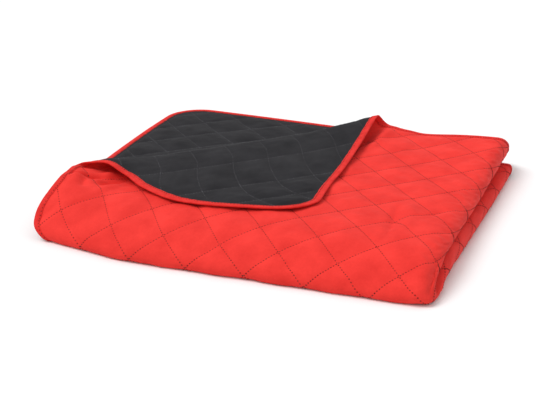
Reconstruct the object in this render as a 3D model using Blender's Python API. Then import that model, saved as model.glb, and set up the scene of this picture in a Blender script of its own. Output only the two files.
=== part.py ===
# A quilted bedspread: a red face panel and a black reverse panel stitched in diamonds, with a red binding
# round its edge. It is folded in quarters, and the far left corner of its top layer is turned back.
#
# The flat sheet has coordinates (s, t): s along its length with the first fold at s = 0, and t across its
# width with the second fold at t = 0. The layers are, from the top:
#   s < 0, t > 0  outer half, face up           s > 0, t > 0  inner half, reverse up
#   s > 0, t < 0  inner half, face up           s < 0, t < 0  outer half, face down, on the floor
import math

import bmesh
import bpy
import numpy as np

# Sheet, in metres
OUTER_LENGTH = 1.05
INNER_LENGTH = 1.05
UPPER_WIDTH = 0.93
LOWER_WIDTH = 0.87
CORNER_RADIUS = 0.11
CORNER_STEPS = 6

# Quilting: squares standing on their corners, measured corner to corner
DIAMOND = 0.146
ROW_AT = 0.142
PANEL_GAP = 0.0003
SEAM_THICKNESS = 0.0010
CROWN_THICKNESS = 0.0043

# Binding: a folded strip over the sheet's edge
BINDING_WALL = 0.0012
BINDING_CLEARANCE = 0.0004
RIM_CLEARANCE = 0.0010
MARGIN = 0.017
MARGIN_RISE = 0.030

# First fold: the right-hand noses. The cloth's length from the fold runs left from FOLD_REACH.
FOLD_REACH = 0.3296
NOSE_REACH = 0.90
NOSE_TUCK = 0.017
CORNER_NOSE = 0.050
CORNER_TUCK = 0.004
CORNER_SPREAD = 0.085
PINCH_LENGTH = 0.42
LOWER_SHIFT = 0.010

# Second fold: it lies askew, further back towards the right, by FOLD_SKEW[0] + FOLD_SKEW[1] * x. The front's
# left end lies further back, its foot is tucked in below a height, and its slope bulges left round a height.
FOLD_SKEW = (0.0020, 0.0690)
SKEW_FADE = (0.10, 0.70)
INNER_SPREAD = 0.056
LEFT_BACK = 0.045
LEFT_TUCK = 0.026
TUCK_HEIGHT = 0.020
LEFT_BULGE = 0.018
BULGE_HEIGHT = 0.060
BULGE_SPREAD = 0.040

# Turned-back corner: a crease at 45 degrees, this far from the sheet's corner along both edges
CREASE_LEG = 0.65
ROLL_MIDDLE = 0.0098
ROLL_END = 0.0150
ROLL_SPREAD = 0.15
FLAP_REST = 0.0108
FLAP_FALL = 0.14

# How the flap is shifted at the crease, halfway and at its corner
FLAP_SHIFT_X = (-0.022, 0.000, 0.020)
FLAP_SHIFT_Y = (-0.018, -0.105, -0.048)

# Soft rises and a sag of the top layer near the crease's ends: x, y, height, spread along x, spread along y
LIFTS = (
    (-0.750, 0.010, 0.023, 0.14, 0.12),
    (-0.075, 0.785, 0.008, 0.075, 0.10),
    (0.020, 0.800, -0.012, 0.10, 0.15),
)

# Slow unevenness of the stack
WAVE_HEIGHT = 0.0025

FLOOR_LAYER = PANEL_GAP / 2 + CROWN_THICKNESS

# Sections across the second fold, at the middle of the cloth: y, z, and 1 in the row of the front fold
OUTER_SECTION = (
    (0.860, FLOOR_LAYER, 0),
    (0.500, FLOOR_LAYER, 0),
    (0.200, FLOOR_LAYER, 0),
    (0.000, FLOOR_LAYER, 0),
    (-0.060, FLOOR_LAYER, 0),
    (-0.100, FLOOR_LAYER, 0),
    (-0.121, 0.0058, 0),
    (-0.1305, 0.0125, 1),
    (-0.1200, 0.0215, 0),
    (-0.091, 0.0370, 0),
    (-0.060, 0.0535, 0),
    (-0.030, 0.0705, 0),
    (0.000, 0.0815, 0),
    (0.040, 0.0868, 0),
    (0.110, 0.0880, 0),
    (0.300, 0.0890, 0),
    (0.550, 0.0920, 0),
    (0.760, 0.0970, 0),
    (0.880, 0.0980, 0),
)
INNER_LEFT_SECTION = (
    (0.880, 0.0260, 0),
    (0.500, 0.0270, 0),
    (0.200, 0.0240, 0),
    (0.050, 0.0185, 0),
    (-0.040, 0.0150, 0),
    (-0.078, 0.0150, 0),
    (-0.0945, 0.0215, 1),
    (-0.0800, 0.0290, 0),
    (-0.050, 0.0440, 0),
    (-0.015, 0.0615, 0),
    (0.030, 0.0700, 0),
    (0.110, 0.0690, 0),
    (0.300, 0.0660, 0),
    (0.550, 0.0600, 0),
    (0.800, 0.0540, 0),
    (0.920, 0.0530, 0),
)
INNER_RIGHT_SECTION = (
    (0.880, 0.0290, 0),
    (0.500, 0.0380, 0),
    (0.200, 0.0480, 0),
    (0.080, 0.0500, 0),
    (0.010, 0.0445, 0),
    (-0.040, 0.0260, 0),
    (-0.067, 0.0205, 0),
    (-0.0785, 0.0285, 1),
    (-0.066, 0.0380, 0),
    (-0.040, 0.0510, 0),
    (0.000, 0.0665, 0),
    (0.050, 0.0705, 0),
    (0.110, 0.0690, 0),
    (0.300, 0.0620, 0),
    (0.550, 0.0530, 0),
    (0.800, 0.0440, 0),
    (0.920, 0.0420, 0),
)

# Where the sheet is cut into cells so that it can bend: distances from each fold, and from the crease
FIRST_FOLD_CUTS = (0.0, 0.009, 0.018, 0.028, 0.042, 0.066, 0.092)
SECOND_FOLD_CUTS = (-0.10, -0.045, -0.018, -0.009, 0.0, 0.009, 0.020, 0.050, 0.085, 0.120, 0.160)
CREASE_CUTS = (-0.075, -0.046, -0.030, -0.016, -0.003, 0.025, 0.042, 0.070)
EDGE_STEP = 0.125
ROLL_CUTS = (-0.044, -0.033, -0.022, -0.011, 0.0, 0.011, 0.022, 0.033, 0.044, 0.066, 0.095, 0.135)

RED = (0.82, 0.045, 0.035, 1.0)
BLACK = (0.035, 0.031, 0.034, 1.0)
BINDING_RED = (0.66, 0.030, 0.028, 1.0)


def smooth_step(value, start, end):
    part = np.clip((value - start) / (end - start), 0.0, 1.0)
    return part * part * (3.0 - 2.0 * part)


def section_curve(rows, steps=40):
    # A smooth curve through the rows, as arc length from the nose row against y and z.
    table = np.array(rows)
    points = table[:, :2]
    nose = int(np.argmax(table[:, 2]))
    ahead = np.vstack([points[1:], 2 * points[-1] - points[-2]])
    behind = np.vstack([2 * points[0] - points[1], points[:-1]])
    chord = np.linalg.norm(np.diff(points, axis=0), axis=1)
    before = np.concatenate([[chord[0]], chord])
    after = np.concatenate([chord, [chord[-1]]])
    slope_before = (points - behind) / before[:, None]
    slope_after = (ahead - points) / after[:, None]
    share = (after / (before + after))[:, None]
    slope = slope_before * share + slope_after * (1 - share)
    u = np.linspace(0, 1, steps, endpoint=False)[None, :, None]
    start, end = points[:-1, None], points[1:, None]
    out, arrive = slope[:-1, None] * chord[:, None, None], slope[1:, None] * chord[:, None, None]
    curve = (
        (2 * u**3 - 3 * u**2 + 1) * start
        + (u**3 - 2 * u**2 + u) * out
        + (3 * u**2 - 2 * u**3) * end
        + (u**3 - u**2) * arrive
    )
    curve = np.vstack([curve.reshape(-1, 2), points[-1:]])
    length = np.concatenate([[0.0], np.cumsum(np.linalg.norm(np.diff(curve, axis=0), axis=1))])
    return length - length[nose * steps], curve[:, 0], curve[:, 1]


OUTER_CURVE = section_curve(OUTER_SECTION)
INNER_LEFT_CURVE = section_curve(INNER_LEFT_SECTION)
INNER_RIGHT_CURVE = section_curve(INNER_RIGHT_SECTION)


def on_curve(curve, t):
    length, y, z = curve
    return np.stack([np.interp(t, length, y), np.interp(t, length, z)], axis=-1)


def top_height(y):
    # Height of the top layer over a plan position behind the front slope.
    length, curve_y, curve_z = OUTER_CURVE
    top = length > 0.05
    return np.interp(y, curve_y[top], curve_z[top])


SHEET_HALVES = np.array([OUTER_LENGTH + INNER_LENGTH, UPPER_WIDTH + LOWER_WIDTH]) / 2
SHEET_MIDDLE = np.array([INNER_LENGTH - OUTER_LENGTH, UPPER_WIDTH - LOWER_WIDTH]) / 2
SHEET_CORE = SHEET_HALVES - CORNER_RADIUS
LEFT_EDGE = FOLD_REACH - OUTER_LENGTH
FAR_EDGE = float(on_curve(OUTER_CURVE, UPPER_WIDTH)[0])
CREASE_START = np.array([LEFT_EDGE, FAR_EDGE - CREASE_LEG])
CREASE_END = np.array([LEFT_EDGE + CREASE_LEG, FAR_EDGE])
CREASE_LENGTH = CREASE_LEG * math.sqrt(2)


def unevenness(x, y):
    return WAVE_HEIGHT * np.sin(5.1 * x + 2.2 * y + 0.6) * np.cos(4.3 * y - 2.4 * x + 0.9)


def lifted(x, y):
    # The top layer rises and sags softly near the ends of the crease.
    rise = 0.0
    for middle_x, middle_y, height, spread_x, spread_y in LIFTS:
        rise = rise + height * np.exp(-(((x - middle_x) / spread_x) ** 2) - ((y - middle_y) / spread_y) ** 2)
    return rise


def skew(x):
    return FOLD_SKEW[0] + FOLD_SKEW[1] * x


def through(values, share):
    # A smooth curve through three values at shares 0, a half and 1.
    start, middle, end = values
    return start + (middle - start) * smooth_step(share, 0.0, 0.5) + (end - middle) * smooth_step(share, 0.5, 1.0)


def turn_back(x, y):
    # Rolls the plan position over the crease: straight up to it, round half a turn, then mirrored.
    across = ((y - CREASE_START[1]) - (x - CREASE_START[0])) / math.sqrt(2)
    along = ((y - CREASE_START[1]) + (x - CREASE_START[0])) / math.sqrt(2)
    ends = np.exp(-((along / ROLL_SPREAD) ** 2)) + np.exp(-(((CREASE_LENGTH - along) / ROLL_SPREAD) ** 2))
    radius = ROLL_MIDDLE + (ROLL_END - ROLL_MIDDLE) * np.clip(ends, 0, 1)
    half_turn = math.pi * radius / 2
    angle = np.clip(across / radius + math.pi / 2, 0.0, math.pi)
    past = np.maximum(across - half_turn, 0.0)
    moved = np.where(across > half_turn, -across, radius * np.sin(angle) - half_turn)
    moved = np.where(across < -half_turn, across, moved)
    settled = FLAP_REST + (2 * radius - FLAP_REST) * np.exp(-((past / FLAP_FALL) ** 2))
    lift = np.where(across > half_turn, settled, radius * (1 - np.cos(angle)))
    new_x = CREASE_START[0] + (along - moved) / math.sqrt(2)
    new_y = CREASE_START[1] + (along + moved) / math.sqrt(2)
    reach = past * math.sqrt(2) / CREASE_LEG
    rightward = np.clip((new_x - CREASE_START[0]) / CREASE_LEG, 0.0, 1.0)
    turned = smooth_step(across, -0.15, 0.0)
    new_x = new_x + through(FLAP_SHIFT_X, reach) * rightward * turned
    new_y = new_y + through(FLAP_SHIFT_Y, reach) * np.maximum(1 - rightward, smooth_step(reach, 0.0, 0.3)) * turned
    return new_x, new_y, lift


def place(s, t):
    # The folded position of the cloth's middle at flat position (s, t).
    straight = FOLD_REACH - np.abs(s)
    back = skew(straight)
    outer = on_curve(OUTER_CURVE, t - back)
    pinch = smooth_step(straight, FOLD_REACH - PINCH_LENGTH, FOLD_REACH - 0.06)[..., None]
    inner = on_curve(INNER_LEFT_CURVE, t - back) * (1 - pinch) + on_curve(INNER_RIGHT_CURVE, t - back) * pinch
    half_gap = np.linalg.norm(inner - outer, axis=-1) / 2
    at_corner = np.exp(-(((t - back) / CORNER_SPREAD) ** 2))
    reach = half_gap * NOSE_REACH * (1 - at_corner) + CORNER_NOSE * at_corner
    half_length = math.pi / 2 * np.sqrt((half_gap**2 + reach**2) / 2)
    half_length = half_length + NOSE_TUCK + CORNER_TUCK * at_corner
    angle = np.clip(s / half_length, -1, 1) * math.pi / 2
    in_nose = np.abs(s) < half_length
    x = np.where(in_nose, FOLD_REACH - half_length + reach * np.cos(angle), straight)
    middle, half = (inner + outer) / 2, (inner - outer) / 2
    section = middle + half * np.sin(angle)[..., None]
    y = section[..., 0] + back * (1 - 2 * smooth_step(-t, *SKEW_FADE))
    z = section[..., 1]
    on_top = (s < 0) & (t > 0.1)
    rolled_x, rolled_y, lift = turn_back(x, y)
    z = z + np.where(on_top, top_height(rolled_y - skew(rolled_x)) - top_height(y - back) + lift, 0.0)
    x, y = np.where(on_top, rolled_x, x), np.where(on_top, rolled_y, y)
    z = z + lifted(x, y) * np.where(s < 0, smooth_step(t, 0.0, 0.09), 0.0)
    z = z + unevenness(x, y) * smooth_step(z, 0.006, 0.085)
    spread = smooth_step(y, -0.12, 0.80) * smooth_step(-x, 0.0, 0.6)
    x = x - INNER_SPREAD * np.where(s > 0, smooth_step(t, 0.0, 0.2) * spread, 0.0)
    x = x + LOWER_SHIFT * smooth_step(-t, -0.10, 0.03)
    at_front = smooth_step(-y, -0.12, 0.12)
    at_left = smooth_step(-x, 0.50, 0.72) * at_front
    y = y + LEFT_BACK * smooth_step(-x, 0.40, 0.74) * at_front
    x = x + at_left * LEFT_TUCK * np.exp(-((z / TUCK_HEIGHT) ** 2))
    x = x - at_left * LEFT_BULGE * np.exp(-(((z - BULGE_HEIGHT) / BULGE_SPREAD) ** 2)) * (s < 0)
    return np.stack([x, y, z], axis=-1)


def normals(s, t, step=5e-4):
    across = place(s + step, t) - place(s - step, t)
    along = place(s, t + step) - place(s, t - step)
    normal = np.cross(across, along)
    return normal / np.linalg.norm(normal, axis=-1, keepdims=True)


def edge_distance(s, t):
    # Distance in from the sheet's rounded edge.
    ds = np.abs(s - SHEET_MIDDLE[0]) - SHEET_CORE[0]
    dt = np.abs(t - SHEET_MIDDLE[1]) - SHEET_CORE[1]
    outside = np.hypot(np.maximum(ds, 0), np.maximum(dt, 0))
    return CORNER_RADIUS - outside - np.minimum(np.maximum(ds, dt), 0)


def puff(s, t):
    # 0 on the stitching and in the margin, 1 over the crown of each diamond.
    column, row = (s + FOLD_REACH) / DIAMOND, (t - ROW_AT) / DIAMOND
    falling, rising = column - row, column + row
    a = np.abs(2 * (falling - np.floor(falling)) - 1)
    b = np.abs(2 * (rising - np.floor(rising)) - 1)
    crown = np.minimum(1.0, 1.31 * (1 - a**3) * (1 - b**3))
    behind = t - skew(FOLD_REACH)
    pressed = np.exp(-((s / 0.12) ** 2) - (behind / 0.10) ** 2)
    pressed = np.maximum(pressed, np.exp(-((s / 0.04) ** 2)) * (1 - smooth_step(np.abs(behind), 0.2, 0.5)))
    return crown * (1 - pressed) * np.clip((edge_distance(s, t) - MARGIN) / MARGIN_RISE, 0.0, 1.0)


def outline(inset):
    # The rounded edge of the sheet, moved in by inset, counter-clockwise.
    radius = CORNER_RADIUS - inset
    points = []
    for quarter, (side_s, side_t) in enumerate(((1, 1), (-1, 1), (-1, -1), (1, -1))):
        for step in range(CORNER_STEPS + 1):
            angle = math.pi / 2 * (quarter + step / CORNER_STEPS)
            s = SHEET_MIDDLE[0] + side_s * SHEET_CORE[0] + radius * math.cos(angle)
            t = SHEET_MIDDLE[1] + side_t * SHEET_CORE[1] + radius * math.sin(angle)
            points.append((s, t, 0.0))
    return points


FIELD, EDGE_STRIP = 0, 1


def cut(cells, faces, point, normal):
    faces = list(faces)
    edges = {edge for face in faces for edge in face.edges}
    corners = {corner for face in faces for corner in face.verts}
    bmesh.ops.bisect_plane(
        cells,
        geom=faces + list(edges) + list(corners),
        dist=1e-5,
        plane_co=(point[0], point[1], 0.0),
        plane_no=(normal[0], normal[1], 0.0),
    )


def edge_strip_cuts(cells):
    # Cuts straight across the strip under the binding, close together where the crease's rolls turn.
    places = []
    for side in (-1, 1):
        places += [((side * (0.19 + step * EDGE_STEP), 0.0), (1, 0), False) for step in range(6)]
    for side, start, end in ((1, 0.30, UPPER_WIDTH), (-1, 0.22, LOWER_WIDTH)):
        steps = int((end - CORNER_RADIUS - start) / EDGE_STEP)
        places += [((0.0, side * (start + step * EDGE_STEP)), (0, 1), False) for step in range(steps + 1)]
    for distance in ROLL_CUTS:
        places.append(((CREASE_LEG - OUTER_LENGTH - distance, 0.0), (1, 0), True))
        places.append(((0.0, UPPER_WIDTH - CREASE_LEG + distance), (0, 1), True))
    for point, normal, at_roll in places:
        strip = [face for face in cells.faces if face.material_index == EDGE_STRIP]
        if at_roll:
            middles = [face.calc_center_median() for face in strip]
            strip = [face for face, middle in zip(strip, middles) if middle.x < 0 < middle.y]
        cut(cells, strip, point, normal)


def over_crease(face):
    middle = face.calc_center_median()
    return face.material_index == FIELD and middle.x < -0.25 and middle.y > 0.2


def on_roll(face):
    middle = face.calc_center_median()
    across = ((middle.y - UPPER_WIDTH + CREASE_LEG) - (middle.x + OUTER_LENGTH)) / math.sqrt(2)
    return over_crease(face) and abs(across) < 0.045


def flat_cells():
    # The flat sheet cut along its folds, its crease and its stitching.
    cells = bmesh.new()
    rim = [cells.verts.new(point) for point in outline(0.0)]
    field = [cells.verts.new(point) for point in outline(MARGIN)]
    for i in range(len(rim)):
        j = (i + 1) % len(rim)
        cells.faces.new((rim[i], rim[j], field[j], field[i])).material_index = EDGE_STRIP
    cells.faces.new(field).material_index = FIELD
    for distance in FIRST_FOLD_CUTS:
        for side in (-1, 1) if distance else (1,):
            cut(cells, cells.faces, (side * distance, 0.0), (1, 0))
    for distance in SECOND_FOLD_CUTS:
        for side in (-1, 1):
            half = [face for face in cells.faces if face.calc_center_median().x * side > 0]
            cut(cells, half, (0.0, distance + skew(FOLD_REACH)), (side * FOLD_SKEW[1], 1))
    crease_s, crease_t = -OUTER_LENGTH, UPPER_WIDTH - CREASE_LEG
    diagonal = 1 / math.sqrt(2)
    for distance in CREASE_CUTS:
        point = (crease_s - distance * diagonal, crease_t + distance * diagonal)
        cut(cells, [face for face in cells.faces if over_crease(face)], point, (-diagonal, diagonal))
    edge_strip_cuts(cells)
    reach = int(2 * SHEET_HALVES.sum() / DIAMOND)
    for line in range(-reach, reach + 1):
        for slope in (-1, 1):
            start = (-FOLD_REACH + line * DIAMOND, ROW_AT)
            inside = [face for face in cells.faces if face.material_index == FIELD]
            cut(cells, inside, start, (diagonal, slope * diagonal))
    cells.verts.index_update()
    cells.verts.ensure_lookup_table()
    return cells


def raise_crowns(cells):
    # Whole diamonds get a small crown square, and large part diamonds a crown point.
    side = DIAMOND / math.sqrt(2)
    whole, part = [], []
    for face in cells.faces:
        if face.material_index != FIELD:
            continue
        share = face.calc_area() / side**2
        if len(face.verts) == 4 and share > 0.99:
            whole.append(face)
        elif share > 0.35 and not on_roll(face):
            part.append(face)
    bmesh.ops.inset_individual(cells, faces=whole, thickness=side / 4, use_even_offset=True)
    bmesh.ops.poke(cells, faces=part, center_mode="MEAN_WEIGHTED")
    cells.verts.index_update()


def strip_corners(face, rim):
    # The corners of a face of the edge strip, starting with its two on the rim.
    corners = [corner.index for corner in face.verts]
    start = next(i for i, corner in enumerate(corners) if corner in rim and corners[i - 1] not in rim)
    return corners[start:] + corners[:start]


def triangles(cells, rim):
    # The field's cells are split evenly. The edge strip's are fans, as the binding over them is.
    rim = set(rim.tolist())
    found = []
    flat = cells.copy()
    for face in cells.faces:
        if face.material_index == EDGE_STRIP:
            corners = strip_corners(face, rim)
            found += [[corners[0], corners[i], corners[i + 1]] for i in range(1, len(corners) - 1)]
    field = [face for face in flat.faces if face.material_index == FIELD]
    bmesh.ops.triangulate(flat, faces=field, quad_method="BEAUTY", ngon_method="BEAUTY")
    for face in flat.faces:
        if face.material_index == FIELD:
            found.append([corner.index for corner in face.verts])
    flat.free()
    return np.array(found)


def rim_loop(cells):
    # The sheet's rim as one loop of corner indices, counter-clockwise.
    after = {}
    for edge in cells.edges:
        if len(edge.link_faces) == 1:
            loop = edge.link_loops[0]
            after[loop.vert.index] = loop.link_loop_next.vert.index
    start = min(after)
    loop = [start]
    while after[loop[-1]] != start:
        loop.append(after[loop[-1]])
    return np.array(loop)


def edge_strip(cells, rim):
    # For each rim corner, its fellow across the strip; and the corners between two fellows,
    # with their share of the way, so that they stay on the straight line the binding follows.
    on_rim = set(rim.tolist())
    fellow, between = {}, {}
    for face in cells.faces:
        if face.material_index != EDGE_STRIP:
            continue
        corners = strip_corners(face, on_rim)
        fellow[corners[0]], fellow[corners[1]] = corners[-1], corners[2]
        first, last = cells.verts[corners[2]].co, cells.verts[corners[-1]].co
        for corner in corners[3:-1]:
            share = (cells.verts[corner].co - first).length / (last - first).length
            between[corner] = (corners[2], corners[-1], share)
    return np.array([fellow[corner] for corner in rim]), between


def straighten(points, between):
    for corner, (first, last, share) in between.items():
        points[corner] = points[first] * (1 - share) + points[last] * share
    return points


def add_object(name, points, faces, colour, roughness):
    points = np.where(np.abs(points) < 1e-7, 0.0, points)
    mesh = bpy.data.meshes.new(name)
    mesh.from_pydata(points.tolist(), [], faces.tolist())
    mesh.validate()
    material = bpy.data.materials.new(name)
    material.use_nodes = True
    shader = material.node_tree.nodes["Principled BSDF"]
    shader.inputs["Base Color"].default_value = colour
    shader.inputs["Roughness"].default_value = roughness
    shader.inputs["Metallic"].default_value = 0.0
    mesh.materials.append(material)
    made = bpy.data.objects.new(name, mesh)
    bpy.context.collection.objects.link(made)
    return made


def panel(name, side, sheet, colour):
    # A closed skin between the sheet's middle and the quilted surface on one side of it.
    flat, crowned, rim = sheet["flat"], sheet["crowned"], sheet["rim"]
    s, t = crowned[:, 0], crowned[:, 1]
    thickness = SEAM_THICKNESS + (CROWN_THICKNESS - SEAM_THICKNESS) * puff(s, t)
    offset = side * (PANEL_GAP / 2 + thickness)
    outside = straighten(place(s, t) + normals(s, t) * offset[:, None], sheet["between"])
    inside = place(flat[:, 0], flat[:, 1]) + normals(flat[:, 0], flat[:, 1]) * side * PANEL_GAP / 2
    inside = straighten(inside, sheet["between"])
    outside[:, 2] = np.maximum(outside[:, 2], 0.0)
    shift = len(outside)
    following = np.roll(rim, -1)
    closing = np.concatenate(
        [
            np.stack([rim + shift, following + shift, following], axis=1),
            np.stack([rim + shift, following, rim], axis=1),
        ]
    )
    faces = np.concatenate([sheet["outer_faces"], sheet["inner_faces"][:, ::-1] + shift, closing])
    if side < 0:
        faces = faces[:, ::-1]
    return add_object(name, np.concatenate([outside, inside]), faces, colour, 0.75)


def binding(sheet):
    # A strip folded over the edge: eight corners at each step round the rim, between the places
    # and normals of the rim and of the inner side of the edge strip.
    ends = []
    for corners in (sheet["rim"], sheet["fellow"]):
        s, t = sheet["flat"][corners].T
        ends.append((place(s, t), normals(s, t)))
    (rim_place, rim_normal), (field_place, field_normal) = ends
    inner = PANEL_GAP / 2 + SEAM_THICKNESS + BINDING_CLEARANCE
    outer = inner + BINDING_WALL
    clear = -RIM_CLEARANCE / MARGIN
    wrap = clear - BINDING_WALL / MARGIN
    hem = 1 - BINDING_WALL / MARGIN
    profile = (
        (wrap, outer),
        (hem, outer),
        (hem, inner),
        (clear, inner),
        (clear, -inner),
        (hem, -inner),
        (hem, -outer),
        (wrap, -outer),
    )
    rows = []
    for share, offset in profile:
        normal = rim_normal * (1 - share) + field_normal * share
        normal /= np.linalg.norm(normal, axis=1, keepdims=True)
        rows.append(rim_place * (1 - share) + field_place * share + normal * offset)
    points = np.stack(rows, axis=1)
    steps, corners = points.shape[:2]
    step, corner = np.meshgrid(np.arange(steps), np.arange(corners), indexing="ij")
    here, beside = step * corners + corner, step * corners + (corner + 1) % corners
    ahead = (step + 1) % steps * corners + corner
    ahead_beside = (step + 1) % steps * corners + (corner + 1) % corners
    returning = (corner == 2) | (corner == 6)
    first = np.where(returning, [ahead_beside, beside, ahead], [here, ahead, ahead_beside])
    second = np.where(returning, [beside, here, ahead], [here, ahead_beside, beside])
    faces = np.concatenate([first.reshape(3, -1).T, second.reshape(3, -1).T])
    return add_object("binding", points.reshape(-1, 3), faces, BINDING_RED, 0.6)


def centre_on_base(objects):
    # Puts the origin under the middle of the folded stack, on the floor.
    corners = np.concatenate([np.array([corner.co[:] for corner in made.data.vertices]) for made in objects])
    low, high = corners.min(axis=0), corners.max(axis=0)
    move = np.array([-(low[0] + high[0]) / 2, -(low[1] + high[1]) / 2, -low[2]])
    for made in objects:
        for corner in made.data.vertices:
            corner.co = np.array(corner.co[:]) + move


def folded_sheet():
    # The flat sheet's corners and faces, shared by both panels and the binding.
    cells = flat_cells()
    rim = rim_loop(cells)
    fellow, between = edge_strip(cells, rim)
    sheet = {"rim": rim, "fellow": fellow, "between": between}
    sheet["flat"] = np.array([corner.co[:2] for corner in cells.verts])
    sheet["inner_faces"] = triangles(cells, rim)
    raise_crowns(cells)
    sheet["crowned"] = np.array([corner.co[:2] for corner in cells.verts])
    sheet["outer_faces"] = triangles(cells, rim)
    cells.free()
    return sheet


def main():
    for made in list(bpy.data.objects):
        bpy.data.objects.remove(made)
    sheet = folded_sheet()
    face = panel("face_panel", 1, sheet, RED)
    reverse = panel("reverse_panel", -1, sheet, BLACK)
    centre_on_base((face, reverse, binding(sheet)))


main()
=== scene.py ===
import math

import bpy
import numpy as np
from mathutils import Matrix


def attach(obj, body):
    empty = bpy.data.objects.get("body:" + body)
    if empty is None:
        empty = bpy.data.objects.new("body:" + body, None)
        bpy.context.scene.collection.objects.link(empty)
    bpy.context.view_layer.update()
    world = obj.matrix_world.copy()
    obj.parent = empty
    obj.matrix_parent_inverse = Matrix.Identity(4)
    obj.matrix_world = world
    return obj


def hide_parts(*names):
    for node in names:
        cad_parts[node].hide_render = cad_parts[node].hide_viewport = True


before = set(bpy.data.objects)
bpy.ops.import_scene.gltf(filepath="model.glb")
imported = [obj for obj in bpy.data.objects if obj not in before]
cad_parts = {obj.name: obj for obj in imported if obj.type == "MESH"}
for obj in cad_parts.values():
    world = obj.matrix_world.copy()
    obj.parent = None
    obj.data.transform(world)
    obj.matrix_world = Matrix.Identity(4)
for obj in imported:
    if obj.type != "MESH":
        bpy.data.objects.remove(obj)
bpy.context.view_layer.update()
print("frame loaded:", sorted(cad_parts))

# The flat sheet has coordinates s along it and t across it, in metres, with its two folds at s = 0 and t = 0.
# From the top the layers are: s < 0, t > 0 face up; s > 0, t > 0 reverse up; s > 0, t < 0 face up; and
# s < 0, t < 0 reverse up, on the floor.
sheetCut = {
    "outerLength": 1.05,  # from the first fold to the edge where s is less than 0, and where it is more
    "innerLength": 1.05,
    "upperWidth": 0.93,  # from the second fold to the edge where t is more than 0, and where it is less
    "lowerWidth": 0.87,
    "cornerRadius": 0.11,
    "toFrame": (0.23390, -0.34216, 0.0),  # from the folding's own axes to the frame's
}
quilting = {
    "diamond": 0.146,  # corner to corner
    "rowAt": 0.142,  # t of a row of crossings
    "halfGap": 0.00015,  # from the cloth's middle to each side's back
    "seam": 0.0010,  # thickness of one side on the stitching
    "crown": 0.0043,  # and over the middle of a diamond in the solids; sets the floor layer's height
    "puff": 0.0066,  # and over the middle of a diamond here
    "lip": 0.018,  # how soon a diamond rises from its stitching
    "pressed": ((0.92, 0.085), (0.70, 0.050)),  # how much flatter each fold makes the diamonds, and its reach
    "evened": 0.35,  # where pressed, the wadding is spread to this share of a diamond's rise
    "margin": 0.0155,  # flat strip that the tape covers
    "marginRise": 0.022,  # how far in from it the diamonds are full
    "rimTaper": 0.004,  # the two sides meet at the edge and are fully apart this far in
    "wavesOnSeam": 0.25,  # share of the waves that the stitching leaves
    "puckerStart": 0.003,  # how far off a seam its puckers start
    "gridSteps": 28,  # cloth grid steps to a diamond, an even number
}
firstFold = {
    "reach": 0.3296,  # the fold's place on x
    "noseReach": 0.72,  # how far its nose stands out, as a share of half the gap that it closes
    "bluntness": 0.62,  # 1 is a part ellipse, less is blunter
    "slump": 0.36,  # share of its height that the pile loses towards the fold, over these spans of x and y
    "slumpAcross": (0.245, 0.335),
    "slumpAlong": (-0.135, 0.010, 0.300, 0.780),
    "noseTuck": 0.017,  # extra cloth on each side of the nose
    "cornerNose": 0.050,  # where both folds meet, the nose stands out this far
    "cornerTuck": 0.004,
    "cornerSpread": 0.085,
    "pinchSpan": (0.42, 0.06),  # span before the fold where the inner layers take their right section
    "lowerShift": 0.010,  # how far the lower layers lie to the right
    "lowerShiftSpan": (-0.10, 0.03),  # that starts and is full at these lengths past the second fold
}
secondFold = {
    "skew": (0.0020, 0.0690),  # how far back the fold lies, and how much more for each metre to the right
    "skewFade": (0.10, 0.70),  # span of the lower layers over which that turns the other way
    "topStart": 0.05,  # the top layer starts this far along its section
    "slide": (0.88, 0.25),  # share of the skew that slides the front's left half instead, within this length
    "slideDown": (-0.02, 0.12),
    "innerSpread": 0.056,  # how far left the second layer lies at its far left corner
    "innerSpreadSpans": ((-0.12, 0.80), (0.0, 0.6), (0.0, 0.2)),  # over y, leftwards and over t
    "front": (-0.12, 0.12),  # the front starts and is full at these distances forward
    "left": (0.50, 0.72),  # and its left end at these distances to the left
    "leftBack": 0.045,  # how far the front's left end lies back
    "leftBackSpan": (0.40, 0.74),
    "leftTuck": (0.029, 0.024),  # its foot is tucked in by this much, below this height
    "leftBulge": (0.010, 0.060, 0.040),  # and bulges left by this much, round this height, over this spread
    "waveHeight": 0.0025,
    "waveAlong": (5.1, 2.2, 0.6),  # radians for each metre of x and of y, and at the start
    "waveAcross": (-2.4, 4.3, 0.9),
    "waveFade": (0.006, 0.085),  # heights where the waves start and are full
}
turnedCorner = {
    "from": 0.1,  # t where the top layer is free to turn
    "leg": 0.65,  # length of the turned triangle's sides
    "rollMiddle": 0.0098,  # radius of the roll halfway along the crease
    "rollEnd": 0.0150,  # and at its ends
    "rollSpread": 0.15,
    "rest": 0.0125,  # height that the turned cloth settles to
    "fall": 0.14,  # how soon it does
    "openAtBack": 0.010,  # how much more the roll stands open towards the far edge
    "openLength": 0.30,
    "openReach": 0.20,
    "shiftStart": 0.15,  # the shifts start this far before the crease
    "shiftNear": 0.3,  # share of the way to the corner after which the second shift is full
    "shiftX": (-0.022, 0.000, 0.020),  # at the crease, halfway and at the corner
    "shiftY": (-0.018, -0.105, -0.048),
    "lifts": (  # x, y, height, spread along x and along y
        (-0.750, 0.010, 0.023, 0.14, 0.12),
        (-0.075, 0.785, 0.008, 0.075, 0.10),
        (0.020, 0.800, -0.012, 0.10, 0.15),
        (0.280, 0.800, 0.006, 0.13, 0.16),
    ),
    "liftFade": 0.09,  # t where the lifts are full
    "mouth": (  # the open end's rises: place along the left edge, height, width
        (0.17, 0.0095, 0.080),
        (0.250, 0.0120, 0.034),
        (0.305, -0.0050, 0.025),
        (0.375, 0.0120, 0.040),
    ),
    "mouthReach": 0.060,  # how far in from that edge they reach
}
floorLayer = quilting["halfGap"] + quilting["crown"]

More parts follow.
